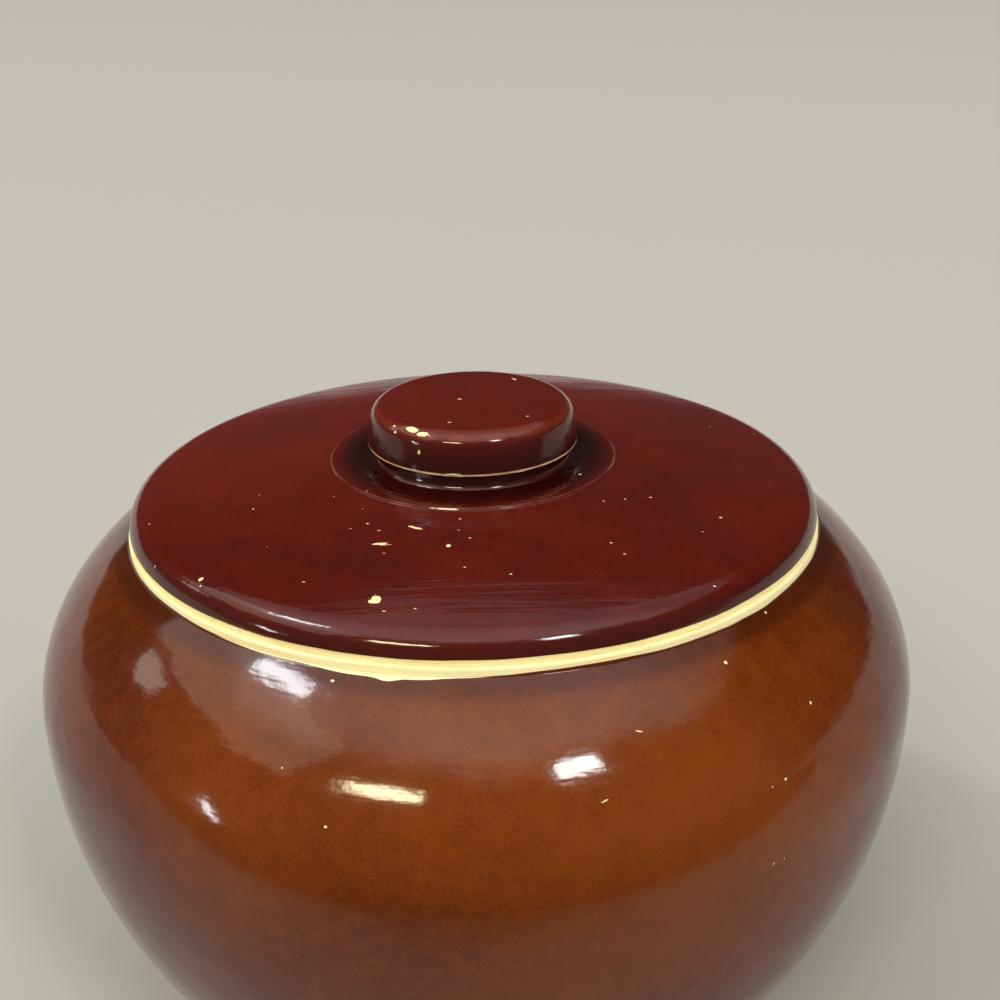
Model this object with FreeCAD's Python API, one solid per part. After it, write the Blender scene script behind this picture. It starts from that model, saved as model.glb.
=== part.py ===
import FreeCAD, Part
import math
import os

from FreeCAD import Vector

# A stoneware bean pot: a squat, round-bellied body and a lift-off lid whose disc
# knob is fired in one with it. Both are turned forms, so each is one closed section
# swept round the axis. Millimetres, +Z up, and the origin is on the pot's axis, on
# the plane that it stands on.

# Rim and mouth of the body
mouth_radius = 70.3       # bore that the lid's flange drops into
rim_width = 8.3           # clay between the bore and the outside of the rim
rim_height = 1.9          # short upright lip between the shoulder and the seat
rim_outer_round = 0.6
rim_inner_round = 1.5
throat_round = 2.0        # where the bore turns out into the belly

# Belly and foot of the body
belly_swell = 22.8        # how far the widest part stands out past the rim
belly_height = 89.0       # widest part above the table
shoulder_rise = 36.6      # widest part up to the bottom of the lip
foot_radius = 61.0        # outside of the foot ring
foot_width = 6.0
foot_height = 3.0
foot_ledge = 1.0          # how far the belly overhangs the foot ring
foot_recess = 2.0         # hollow inside the foot ring
foot_round = 0.8

# Clay thickness of the body
wall = 7.0
floor_thickness = 7.0
floor_corner = 14.0       # round between the inner floor and the wall

# Lid
lid_setback = 0.6         # lid's edge inside the outside of the rim
lid_edge = 1.3            # upright edge of the lid above its seat
lid_shoulder = 5.4        # round between the edge and the dome
lid_rise = 11.5           # top of the dome's curve above the upright edge
lid_thickness = 6.0
flange_clearance = 1.2    # between the flange and the mouth, all round
flange_width = 5.0
flange_depth = 6.0        # flange below the seat
flange_round = 1.5
flange_root = 0.8         # round between the flange and the seat
underside_round = 2.5     # round between the flange and the lid's underside

# Flat disc on the dome, with the groove that is turned round the knob's neck
disc_radius = 32.3
disc_step = 0.5           # edge of the disc above the dome
disc_round = 0.35
groove_radius = 26.8      # outer edge of the groove
groove_slope = 2.6        # level width of the slope down into it
groove_depth = 0.9
groove_round = 1.6

# Knob
neck_radius = 21.4
neck_height = 3.4         # knob's underside above the disc
neck_round = 1.0
neck_cove = 2.0           # hollow round between the neck and the groove
knob_radius = 22.6        # at the top of the side, before it is rounded
knob_flare = 1.3          # how much wider the side is at its bottom arris
knob_thickness = 9.7
knob_crown = 0.4          # rise of the knob's top face at its centre
knob_round = 3.6
knob_arris = 0.45

# Heights and radii that follow from the sizes above
rim_radius = mouth_radius + rim_width
belly_radius = rim_radius + belly_swell
rim_foot_z = belly_height + shoulder_rise
seat_z = rim_foot_z + rim_height
lid_radius = rim_radius - lid_setback
flange_radius = mouth_radius - flange_clearance
lid_edge_z = seat_z + lid_edge
lid_apex_z = lid_edge_z + lid_rise

section_plane = Part.Plane(Vector(0, 0, 0), Vector(0, 1, 0))


def point(radius, height):
    """A point of a section, which lies in the XZ plane."""
    return Vector(radius, 0, height)


def polyline(*places):
    """Straight edges through (radius, height) places."""
    points = [point(*place) for place in places]
    return [Part.LineSegment(a, b).toShape() for a, b in zip(points, points[1:])]


def arc_through(start, middle, end):
    """A circular edge through three (radius, height) places."""
    return Part.Arc(point(*start), point(*middle), point(*end)).toShape()


def ellipse_arc(centre_z, semi_radius, semi_height, low_z, high_z):
    """An edge of the ellipse centred on the axis at centre_z, between two heights."""
    centre = point(0, centre_z)
    low, high = (low_z - centre_z) / semi_height, (high_z - centre_z) / semi_height
    side, top = point(semi_radius, centre_z), point(0, centre_z + semi_height)
    if semi_radius >= semi_height:
        curve = Part.Ellipse(side, top, centre)
        return Part.ArcOfEllipse(curve, math.asin(low), math.asin(high)).toShape()
    curve = Part.Ellipse(top, side, centre)
    return Part.ArcOfEllipse(curve, math.acos(high), math.acos(low)).toShape()


def rounded(edges, size, radius, height):
    """The section with its corner at that place turned into an arc of that size.

    The straight edges that meet there run the same way round the section.
    """
    corner = point(radius, height)
    legs = [edge for edge in edges
            if any((end.Point - corner).Length < 1e-6 for end in edge.Vertexes)]
    fillet = Part.ChFi2d.FilletAPI(legs[0], legs[1], section_plane)
    fillet.perform(size)
    arc, first, second = fillet.result(corner)
    rest = [edge for edge in edges if not any(edge.isSame(leg) for leg in legs)]
    return rest + [first, arc, second]


def turned(edges):
    """The solid that a closed section sweeps in one turn about the axis."""
    wire = Part.Wire(Part.__sortEdges__(edges))
    solid = Part.Face(wire).revolve(Vector(0, 0, 0), Vector(0, 0, 1), 360)
    return solid if solid.Volume > 0 else solid.reversed()


def semi_axis(rise, radius):
    """The upright semi-axis of a belly ellipse that has narrowed to radius at rise."""
    return rise / math.sqrt(1 - (radius / belly_radius) ** 2)


def pot_outside(lower, upper):
    """The body's outside from the axis to the lip: foot ring and two-ellipse belly."""
    ledge_radius = foot_radius + foot_ledge
    foot_inside = foot_radius - foot_width
    edges = polyline((0, foot_recess), (foot_inside, foot_recess), (foot_inside, 0),
                     (foot_radius, 0), (foot_radius, foot_height), (ledge_radius, foot_height))
    edges = rounded(edges, foot_round, foot_inside, 0)
    edges = rounded(edges, foot_round, foot_radius, 0)
    edges.append(ellipse_arc(belly_height, belly_radius, lower, foot_height, belly_height))
    edges.append(ellipse_arc(belly_height, belly_radius, upper, belly_height, rim_foot_z))
    return edges


def pot_inside(lower, upper):
    """The body's inside from the lip to the axis: seat, bore, belly one wall in, floor."""
    inside = belly_radius - wall
    floor_z = foot_recess + floor_thickness
    floor_radius = inside * math.sqrt(1 - ((belly_height - floor_z) / (lower - wall)) ** 2)
    throat_z = belly_height + (upper - wall) * math.sqrt(1 - (mouth_radius / inside) ** 2)
    edges = polyline((rim_radius, rim_foot_z), (rim_radius, seat_z), (mouth_radius, seat_z),
                     (mouth_radius, throat_z))
    edges.append(ellipse_arc(belly_height, inside, upper - wall, belly_height, throat_z))
    edges.append(ellipse_arc(belly_height, inside, lower - wall, floor_z, belly_height))
    edges += polyline((floor_radius, floor_z), (0, floor_z))
    edges = rounded(edges, rim_outer_round, rim_radius, seat_z)
    edges = rounded(edges, rim_inner_round, mouth_radius, seat_z)
    edges = rounded(edges, throat_round, mouth_radius, throat_z)
    return rounded(edges, floor_corner, floor_radius, floor_z)


def make_pot():
    """The body, one section of even wall from the foot to the seat."""
    lower = semi_axis(belly_height - foot_height, foot_radius + foot_ledge)
    upper = semi_axis(shoulder_rise, rim_radius)
    axis = polyline((0, foot_recess + floor_thickness), (0, foot_recess))
    return turned(pot_outside(lower, upper) + pot_inside(lower, upper) + axis)


def dome_radius():
    """Radius of the arc over the lid that runs tangent into its rounded shoulder."""
    reach = lid_radius - lid_shoulder
    return (reach ** 2 + lid_rise ** 2 - lid_shoulder ** 2) / (2 * (lid_rise - lid_shoulder))


def dome_z(radius, lift=0.0):
    """Height of the lid's dome, or of a surface lift above it, at a radius."""
    sphere = dome_radius() + lift
    return lid_apex_z + lift - sphere + math.sqrt(sphere ** 2 - radius ** 2)


def dome_arc(start, end, lift=0.0):
    """An edge of the dome, or of a surface lift above it, from one radius to another."""
    return arc_through(*[(r, dome_z(r, lift)) for r in (start, (start + end) / 2, end)])


def lid_top():
    """The dome from the disc's edge out, its rounded shoulder and the upright edge."""
    shoulder_centre = lid_radius - lid_shoulder
    slope = math.asin(shoulder_centre / (dome_radius() - lid_shoulder))
    tangent_radius = dome_radius() * math.sin(slope)
    middle = (math.pi / 2 - slope) / 2
    crest = (shoulder_centre + lid_shoulder * math.cos(middle),
             lid_edge_z + lid_shoulder * math.sin(middle))
    shoulder = arc_through((tangent_radius, dome_z(tangent_radius)), crest,
                           (lid_radius, lid_edge_z))
    return [dome_arc(disc_radius, tangent_radius), shoulder]


def lid_underside():
    """The lid from its upright edge to the axis: seat, locating flange and hollow."""
    hollow = flange_radius - flange_width
    hollow_z = dome_z(hollow, -lid_thickness)
    flange_z = seat_z - flange_depth
    edges = polyline((lid_radius, lid_edge_z), (lid_radius, seat_z), (flange_radius, seat_z),
                     (flange_radius, flange_z), (hollow, flange_z), (hollow, hollow_z))
    edges.append(dome_arc(hollow, 0, -lid_thickness))
    lip = min(flange_round, 0.45 * flange_width)
    edges = rounded(edges, lip, flange_radius, flange_z)
    edges = rounded(edges, lip, hollow, flange_z)
    edges = rounded(edges, underside_round, hollow, hollow_z)
    return rounded(edges, min(flange_root, 0.8 * flange_clearance), flange_radius, seat_z)


def knob(disc_z, top_z):
    """The disc knob from the axis down its undercut neck and out to the disc's edge."""
    base_z = disc_z + neck_height
    shoulder_z = top_z - knob_crown
    groove_z = disc_z - groove_depth
    base_radius = knob_radius + knob_flare
    slope_foot = groove_radius - groove_slope
    edges = [arc_through((0, top_z), (knob_radius / 2, top_z - knob_crown / 4),
                         (knob_radius, shoulder_z))]
    edges += polyline((knob_radius, shoulder_z), (base_radius, base_z), (neck_radius, base_z),
                      (neck_radius, groove_z), (slope_foot, groove_z), (groove_radius, disc_z),
                      (disc_radius, disc_z), (disc_radius, dome_z(disc_radius)))
    edges = rounded(edges, knob_round, knob_radius, shoulder_z)
    edges = rounded(edges, knob_arris, base_radius, base_z)
    edges = rounded(edges, min(neck_round, 0.3 * neck_height), neck_radius, base_z)
    edges = rounded(edges, neck_cove, neck_radius, groove_z)
    edges = rounded(edges, groove_round, slope_foot, groove_z)
    edges = rounded(edges, groove_round, groove_radius, disc_z)
    return rounded(edges, min(disc_round, 0.8 * disc_step), disc_radius, disc_z)


def make_lid():
    """The lid and its knob, one section and one piece of clay."""
    disc_z = dome_z(disc_radius) + disc_step
    top_z = disc_z + neck_height + knob_thickness
    axis = polyline((0, dome_z(0, -lid_thickness)), (0, top_z))
    return turned(knob(disc_z, top_z) + lid_top() + lid_underside() + axis)


def capacity(pot):
    """Litres that the body holds to the brim."""
    spaces = Part.makeCylinder(belly_radius + wall, seat_z).cut(pot).Solids
    inside = [space for space in spaces if space.isInside(point(0, belly_height), 0.1, False)]
    return inside[0].Volume / 1e6


def main():
    """Builds each fired piece and writes it as its own STEP file."""
    os.makedirs("parts", exist_ok=True)
    pieces = {"pot": make_pot(), "lid": make_lid()}
    for name, solid in pieces.items():
        box = solid.optimalBoundingBox()
        print(f"{name}: {len(solid.Solids)} solid, valid {solid.isValid()}, "
              f"{solid.Volume / 1000:.0f} cm3, Z {box.ZMin:.1f} to {box.ZMax:.1f}, "
              f"{box.XLength:.1f} mm across")
        solid.exportStep(f"parts/{name}.step")
    print(f"capacity to the brim {capacity(pieces['pot']):.2f} litres")


main()
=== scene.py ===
"""Dresses the turned stoneware bean pot: bare clay, glaze coats, chips, studio, lamps and camera.

The pot and its lid are each one fired piece. A piece is modelled as its clay, with the glaze
coats that lie on it as thin shells of their own, so that a glaze line is a real edge and a chip is
a real hole that shows the clay. Outlines are drawn as (radius, height) in millimetres, about the
axis that both pieces were turned on. Meshes are in metres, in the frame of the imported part.
"""

import logging
import math
from collections.abc import Iterable
from dataclasses import dataclass
from enum import Enum
from typing import Any

import bpy
from mathutils import Matrix, Quaternion, Vector, noise

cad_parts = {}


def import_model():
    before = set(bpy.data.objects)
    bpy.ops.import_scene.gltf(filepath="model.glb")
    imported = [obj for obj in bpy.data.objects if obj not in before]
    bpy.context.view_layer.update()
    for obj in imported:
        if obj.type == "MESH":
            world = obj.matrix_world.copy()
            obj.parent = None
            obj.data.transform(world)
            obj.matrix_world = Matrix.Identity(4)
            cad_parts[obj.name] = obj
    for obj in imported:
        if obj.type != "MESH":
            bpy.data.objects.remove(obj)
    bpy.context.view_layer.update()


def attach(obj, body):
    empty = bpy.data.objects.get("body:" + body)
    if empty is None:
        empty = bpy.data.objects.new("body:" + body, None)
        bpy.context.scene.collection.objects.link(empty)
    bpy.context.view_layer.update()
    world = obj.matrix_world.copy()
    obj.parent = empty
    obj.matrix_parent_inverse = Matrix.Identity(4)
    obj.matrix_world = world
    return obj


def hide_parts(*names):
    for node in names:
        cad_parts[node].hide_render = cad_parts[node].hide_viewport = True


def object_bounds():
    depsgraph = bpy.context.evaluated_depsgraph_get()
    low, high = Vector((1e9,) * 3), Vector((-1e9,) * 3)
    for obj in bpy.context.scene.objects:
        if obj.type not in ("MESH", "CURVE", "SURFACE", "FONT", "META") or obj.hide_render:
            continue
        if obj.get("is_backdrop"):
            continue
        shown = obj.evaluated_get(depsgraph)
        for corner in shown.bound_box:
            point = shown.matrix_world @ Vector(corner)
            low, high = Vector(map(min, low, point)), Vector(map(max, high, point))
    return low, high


LOG = logging.getLogger("bean_pot")
MM = 0.001

GLAZE_COAT = 0.25        # glaze that stands proud of the clay, in millimetres
GLAZE_BITE = 0.15        # how far a coat's hidden side reaches into the clay
GLAZE_ROLL = 0.14        # round on the free edge of a coat
ROLL_ANGLE = 60.0        # edges of a coat sharper than this, in degrees, get that round
CHIP_DEPTH = 2 * GLAZE_COAT     # half height of what breaks a chip out of a coat
CHIP_GRAIN = 0.9         # size of the unevenness of a chip's outline, in millimetres
CHIP_RAGGED = 0.35       # its depth, as a share of the chip's width
LARGE_CHIP = 1.2         # chips longer than this get a finer outline, in millimetres
TURN_STEPS = 360         # steps of a full turn
CORNER_STEP = 11.0       # degrees of a round corner that one facet takes
SMOOTH_ANGLE = 38.0      # edges sharper than this, in degrees, stay crisp
WELD = 0.002             # points closer than this are one, in millimetres
ROW_SLACK = 0.01         # vertices this close to a row of an outline are on it, in millimetres
GLASS_IOR = 1.45         # of fired glaze, and of the glassy matrix of fired clay


class Body(Enum):
    """The two bodies that move apart."""

    POT = "pot"
    LID = "lid"


class Slot(Enum):
    """The record's material slots."""

    POT = "pot_stoneware"
    LID = "lid_stoneware"


# ---------------------------------------------------------------- outlines


def trimmed(path: list[Vector], cut: float) -> list[Vector]:
    """Shortens a path at its end.

    Args:
        path: points of the path.
        cut: length to take off, in millimetres.

    Returns:
        The points that are left, with the new end as the last one.
    """
    kept = list(path)
    while len(kept) > 2 and (kept[-1] - kept[-2]).length <= cut:
        cut -= (kept[-1] - kept[-2]).length
        kept.pop()
    step = kept[-1] - kept[-2]
    kept[-1] = kept[-1] - step.normalized() * min(cut, 0.9 * step.length)
    return kept


def bend(start: Vector, leave: Vector, end: Vector, arrive: Vector) -> list[Vector]:
    """Draws a round corner between two straight or gently curved legs.

    Args:
        start: end of the first leg.
        leave: direction of the first leg there.
        end: start of the second leg.
        arrive: direction of the second leg there.

    Returns:
        The points between start and end, without either.
    """
    turn = leave.angle(arrive)
    chord = (end - start).length
    handle = chord / (2 * math.sin(turn / 2)) * 4 / 3 * math.tan(turn / 4)
    first, second = start + leave * handle, end - arrive * handle
    count = max(2, math.ceil(math.degrees(turn) / CORNER_STEP))
    points = []
    for i in range(1, count):
        t = i / count
        points.append((1 - t) ** 3 * start + 3 * t * (1 - t) ** 2 * first
                      + 3 * t ** 2 * (1 - t) * second + t ** 3 * end)
    return points


class Outline:
    """The section of a turned form, drawn leg by leg like a potter's template."""

    def __init__(self, radius: float, height: float) -> None:
        """Starts the outline.

        Args:
            radius: radius of the first point, in millimetres.
            height: height of the first point, in millimetres.
        """
        self.points = [Vector((radius, height))]

    def _join(self, leg: list[Vector], corner: float) -> "Outline":
        """Adds a leg that starts at the last point, with the corner between them rounded.

        Args:
            leg: points of the leg, the first of them the outline's last point.
            corner: radius of the round, or 0 for a sharp corner.

        Returns:
            The outline, so that calls can be chained.
        """
        if corner > 0:
            turn = (self.points[-1] - self.points[-2]).angle(leg[1] - leg[0])
            reach = corner * math.tan(turn / 2)
            self.points = trimmed(self.points, reach)
            leg = trimmed(leg[::-1], reach)[::-1]
            leaving = (self.points[-1] - self.points[-2]).normalized()
            arriving = (leg[1] - leg[0]).normalized()
            self.points += bend(self.points[-1], leaving, leg[0], arriving)
            self.points.append(leg[0])
        self.points += leg[1:]
        return self

    def line_to(self, radius: float, height: float, rows: int = 1,
                corner: float = 0.0) -> "Outline":
        """Adds a straight leg.

        Args:
            radius: radius of its end.
            height: height of its end.
            rows: pieces that the leg is divided into.
            corner: radius of the round between it and the leg before.

        Returns:
            The outline.
        """
        start, end = self.points[-1], Vector((radius, height))
        return self._join([start.lerp(end, i / rows) for i in range(rows + 1)], corner)

    def curve_to(self, radius: float, height: float, centre: Vector, semi_radius: float,
                 semi_height: float, rows: int, corner: float = 0.0) -> "Outline":
        """Adds an arc of an ellipse, or of a circle where the semi-axes are equal.

        Args:
            radius: radius of its end.
            height: height of its end.
            centre: centre of the ellipse, as (radius, height).
            semi_radius: level semi-axis.
            semi_height: upright semi-axis.
            rows: pieces that the arc is divided into.
            corner: radius of the round between it and the leg before.

        Returns:
            The outline.
        """
        start, end = self.points[-1], Vector((radius, height))
        angles = [math.atan2((p.y - centre.y) / semi_height, (p.x - centre.x) / semi_radius)
                  for p in (start, end)]
        leg = [start]
        for i in range(1, rows):
            angle = angles[0] + (angles[1] - angles[0]) * i / rows
            leg.append(centre + Vector((semi_radius * math.cos(angle),
                                        semi_height * math.sin(angle))))
        return self._join(leg + [end], corner)


@dataclass(frozen=True)
class Place:
    """A place on a turned surface, with the direction that the surface faces there."""

    point: Vector
    normal: Vector


def place_on(path: list[Vector], radius: float, height: float, bearing: float) -> Place:
    """Finds the place on a turned surface that is nearest to a stated one.

    Args:
        path: outline of the surface, with the open air on its left.
        radius: stated distance from the axis, in millimetres.
        height: stated height, in millimetres.
        bearing: direction from the axis, in degrees from +X towards +Y.

    Returns:
        The place, in metres.
    """
    wanted = Vector((radius, height))
    near = min(range(1, len(path) - 1), key=lambda i: (path[i] - wanted).length)
    along = (path[near + 1] - path[near - 1]).normalized()
    turn = Matrix.Rotation(math.radians(bearing), 3, "Z")
    point = turn @ Vector((path[near].x, 0, path[near].y)) * MM
    return Place(point, turn @ Vector((-along.y, 0, along.x)))


# ---------------------------------------------------------------- modelling


def deselect_all() -> None:
    """Deselects every object, the nodes of the frame among them."""
    if bpy.context.object and bpy.context.object.mode != "OBJECT":
        bpy.ops.object.mode_set(mode="OBJECT")
    bpy.ops.object.select_all(action="DESELECT")


def select_only(*pieces: bpy.types.Object) -> None:
    """Selects the pieces and nothing else, and makes the first one active."""
    deselect_all()
    for piece in pieces:
        piece.select_set(True)
    bpy.context.view_layer.objects.active = pieces[0]


def apply_modifier(piece: bpy.types.Object, kind: str, **settings: Any) -> None:
    """Adds a modifier to a piece and applies it.

    Args:
        piece: the piece.
        kind: Blender's name for the kind of modifier.
        settings: what is set on it.
    """
    select_only(piece)
    bpy.ops.object.modifier_add(type=kind)
    modifier = piece.modifiers[-1]
    for name, value in settings.items():
        setattr(modifier, name, value)
    bpy.ops.object.modifier_apply(modifier=modifier.name)


def turn_piece(name: str, path: list[Vector], facing_axis: bool = False) -> bpy.types.Object:
    """Turns an outline into a piece, as on a wheel.

    Args:
        name: name of the piece.
        path: outline, as (radius, height) in millimetres.
        facing_axis: True for a surface that is seen from the axis, such as a bowl's inside.

    Returns:
        The piece, with its faces outwards, its seam closed and its poles merged.
    """
    deselect_all()
    bpy.ops.mesh.primitive_plane_add(size=MM, location=(path[0].x * MM, 0, path[0].y * MM))
    piece = bpy.context.object
    piece.name = name
    bpy.ops.object.transform_apply(location=True)
    bpy.ops.object.mode_set(mode="EDIT")
    bpy.ops.mesh.merge(type="CENTER")
    for here, there in zip(path, path[1:]):
        step = (there - here) * MM
        bpy.ops.mesh.extrude_region_move(TRANSFORM_OT_translate={"value": (step.x, 0, step.y)})
    bpy.ops.mesh.select_all(action="SELECT")
    bpy.ops.mesh.spin(steps=TURN_STEPS, angle=math.tau, center=(0, 0, 0), axis=(0, 0, 1))
    bpy.ops.mesh.select_all(action="SELECT")
    bpy.ops.mesh.remove_doubles(threshold=WELD * MM)
    bpy.ops.mesh.normals_make_consistent(inside=facing_axis)
    bpy.ops.object.mode_set(mode="OBJECT")
    return piece


def soften(piece: bpy.types.Object, depth: float, size: float) -> None:
    """Gives a turned surface the slow swells that hand work and firing leave in it.

    Args:
        piece: the piece, still a single surface.
        depth: how far the surface may sink, in millimetres. It never rises.
        size: width of a swell, in millimetres.
    """
    swell = bpy.data.textures.new(piece.name + "_swell", "CLOUDS")
    swell.noise_scale = size * MM
    swell.noise_depth = 1
    apply_modifier(piece, "DISPLACE", texture=swell, texture_coords="LOCAL",
                   direction="NORMAL", mid_level=1.0, strength=depth * MM)


def coat_wall(piece: bpy.types.Object) -> None:
    """Makes a coat of glaze out of its outer surface.

    Args:
        piece: the surface, with its faces towards the open air.
    """
    apply_modifier(piece, "SOLIDIFY", thickness=(GLAZE_COAT + GLAZE_BITE) * MM, offset=-1)
    apply_modifier(piece, "BEVEL", width=GLAZE_ROLL * MM, segments=3, limit_method="ANGLE",
                   angle_limit=math.radians(ROLL_ANGLE))


def finish_piece(piece: bpy.types.Object, material: bpy.types.Material, body: Body) -> None:
    """Shades a piece, dresses it and puts it on its body.

    Args:
        piece: the finished mesh.
        material: its finish.
        body: the body that it rides on.
    """
    select_only(piece)
    bpy.ops.object.shade_smooth_by_angle(angle=math.radians(SMOOTH_ANGLE))
    piece.data.materials.clear()
    piece.data.materials.append(material)
    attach(piece, body.value)
    LOG.info("%s rides on %s: %d faces, %s", piece.name, body.value, len(piece.data.polygons),
             material.name)


@dataclass(frozen=True)
class Sag:
    """A place where the edge of a glaze coat draws back from its line, or runs past it."""

    bearing: float      # middle, in degrees
    width: float        # half width, in degrees
    depth: float        # in millimetres, less than 0 where it runs past


@dataclass(frozen=True)
class GlazeLine:
    """How the free edge of a coat wanders along the clay."""

    wobble: float                   # deepest of the small waves, in millimetres
    period: float                   # length of a wave, in millimetres
    seed: float
    rest: float = 0.0               # how far the edge lies back everywhere, in millimetres
    sags: tuple[Sag, ...] = ()

    def drawn_back(self, bearing: float, radius: float) -> float:
        """How far the edge lies back from its line, in millimetres, at a bearing in degrees."""
        angle = math.radians(bearing)
        waves = Vector((math.cos(angle), math.sin(angle), 0)) * radius / self.period
        share = 0.5 + 0.5 * noise.fractal(waves + Vector((0, 0, self.seed)), 1.0, 2.0, 3)
        depth = self.rest + self.wobble * min(1.0, max(0.0, share))
        for sag in self.sags:
            away = (bearing - sag.bearing + 180) % 360 - 180
            depth += sag.depth * math.exp(-(away / sag.width) ** 2)
        return max(0.0, depth)


def wander(coat: bpy.types.Object, path: list[Vector], line: GlazeLine, reach: float) -> None:
    """Slides the last rows of a coat back along its outline, so that its edge wanders.

    Args:
        coat: the coat's surface, just turned from the outline.
        path: the outline, which ends at the coat's edge.
        line: how the edge wanders.
        reach: length of the outline that takes part, in millimetres.
    """
    back = path[::-1]
    lengths = [0.0]
    for here, there in zip(back, back[1:]):
        lengths.append(lengths[-1] + (there - here).length)
    rows = [(back[i], lengths[i]) for i in range(len(back)) if lengths[i] < reach]
    for vertex in coat.data.vertices:
        here = Vector((vertex.co.xy.length, vertex.co.z)) / MM
        row, length = min(rows, key=lambda r: (r[0] - here).length_squared)
        if (row - here).length > ROW_SLACK:
            continue
        bearing = math.degrees(math.atan2(vertex.co.y, vertex.co.x))
        length += line.drawn_back(bearing, here.x) * (1 - length / reach) ** 2
        i = next(k for k in range(1, len(lengths)) if lengths[k] >= length)
        share = (length - lengths[i - 1]) / (lengths[i] - lengths[i - 1])
        there = back[i - 1].lerp(back[i], share) * MM
        vertex.co.xy = vertex.co.xy.normalized() * there.x
        vertex.co.z = there.y


@dataclass(frozen=True)
class Chip:
    """A place where the glaze is knocked off, or burst in the firing, down to the clay."""

    bearing: float          # in degrees from +X towards +Y
    radius: float           # distance from the axis, in millimetres
    height: float
    length: float           # level, round the piece
    width: float            # across that
    lean: float = 0.0       # turn of its length from level, in degrees


def knock_out(coat: bpy.types.Object, path: list[Vector], chips: Iterable[Chip]) -> None:
    """Breaks chips out of a coat of glaze.

    Args:
        coat: the finished coat, a closed shell.
        path: outline of its outer surface, with the open air on its left.
        chips: the chips.
    """
    ragged = bpy.data.textures.new(coat.name + "_ragged", "CLOUDS")
    ragged.noise_scale = CHIP_GRAIN * MM
    cutters = []
    for chip in chips:
        place = place_on(path, chip.radius, chip.height, chip.bearing)
        across = Vector((-math.sin(math.radians(chip.bearing)),
                         math.cos(math.radians(chip.bearing)), 0))
        upward = place.normal.cross(across)
        axes = Matrix((across, upward, place.normal)).transposed()
        turned = axes @ Matrix.Rotation(math.radians(chip.lean), 3, "Z")
        deselect_all()
        bpy.ops.mesh.primitive_ico_sphere_add(radius=1,
                                              subdivisions=3 if chip.length > LARGE_CHIP else 2)
        cutter = bpy.context.object
        size = Vector((chip.length / 2, chip.width / 2, CHIP_DEPTH)) * MM
        cutter.matrix_world = (Matrix.Translation(place.point) @ turned.to_4x4()
                               @ Matrix.Diagonal(size).to_4x4())
        bpy.ops.object.transform_apply(location=True, rotation=True, scale=True)
        apply_modifier(cutter, "DISPLACE", texture=ragged, texture_coords="LOCAL",
                       direction="NORMAL", mid_level=0.5, strength=CHIP_RAGGED * chip.width * MM)
        cutters.append(cutter)
    select_only(*cutters)
    bpy.ops.object.join()
    tool = bpy.context.object
    apply_modifier(coat, "BOOLEAN", object=tool, operation="DIFFERENCE", solver="EXACT")
    bpy.data.objects.remove(tool)


# ---------------------------------------------------------------- finishes


def linear(colour: str) -> tuple[float, float, float, float]:
    """Turns a colour such as "#8A3F12" from sRGB to the linear values that shaders take."""
    parts = [int(colour[i:i + 2], 16) / 255 for i in (1, 3, 5)]
    return (*[p / 12.92 if p <= 0.04045 else ((p + 0.055) / 1.055) ** 2.4 for p in parts], 1.0)


def add_node(tree: bpy.types.NodeTree, kind: str, inputs: dict[str | int, Any] | None = None,
             **settings: Any) -> bpy.types.Node:
    """Adds a node with its settings and links.

    Args:
        tree: the node tree.
        kind: Blender's name for the kind of node, without its first part.
        inputs: for each input, by name or number, a value or the output that feeds it.
        settings: what is set on the node itself.

    Returns:
        The node.
    """
    node = tree.nodes.new("ShaderNode" + kind)
    for name, value in settings.items():
        setattr(node, name, value)
    for name, value in (inputs or {}).items():
        if isinstance(value, bpy.types.NodeSocket):
            tree.links.new(value, node.inputs[name])
        else:
            node.inputs[name].default_value = value
    return node


def new_material(name: str) -> tuple[bpy.types.Material, bpy.types.NodeTree, bpy.types.Node]:
    """Makes a material.

    Args:
        name: its name.

    Returns:
        The material, its emptied node tree and its output node.
    """
    material = bpy.data.materials.new(name)
    material.use_nodes = True
    material.node_tree.nodes.clear()
    output = add_node(material.node_tree, "OutputMaterial")
    return material, material.node_tree, output


@dataclass(frozen=True)
class Ring:
    """A ring round the piece that changes the glaze's colour: a paler line where it runs thin over
    an edge, painted shade, a painted highlight, or the dark ring just under the pot's lip.
    """

    radius: float
    height: float
    colour: str
    core: float             # half width of the full colour, in millimetres
    fade: float             # distance at which it is gone
    strength: float
    steady: float = 0.35    # least share of it that is left where it comes and goes
    mottle_span: tuple[float, float] = (0.35, 0.6)      # of the noise that makes it do so


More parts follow.
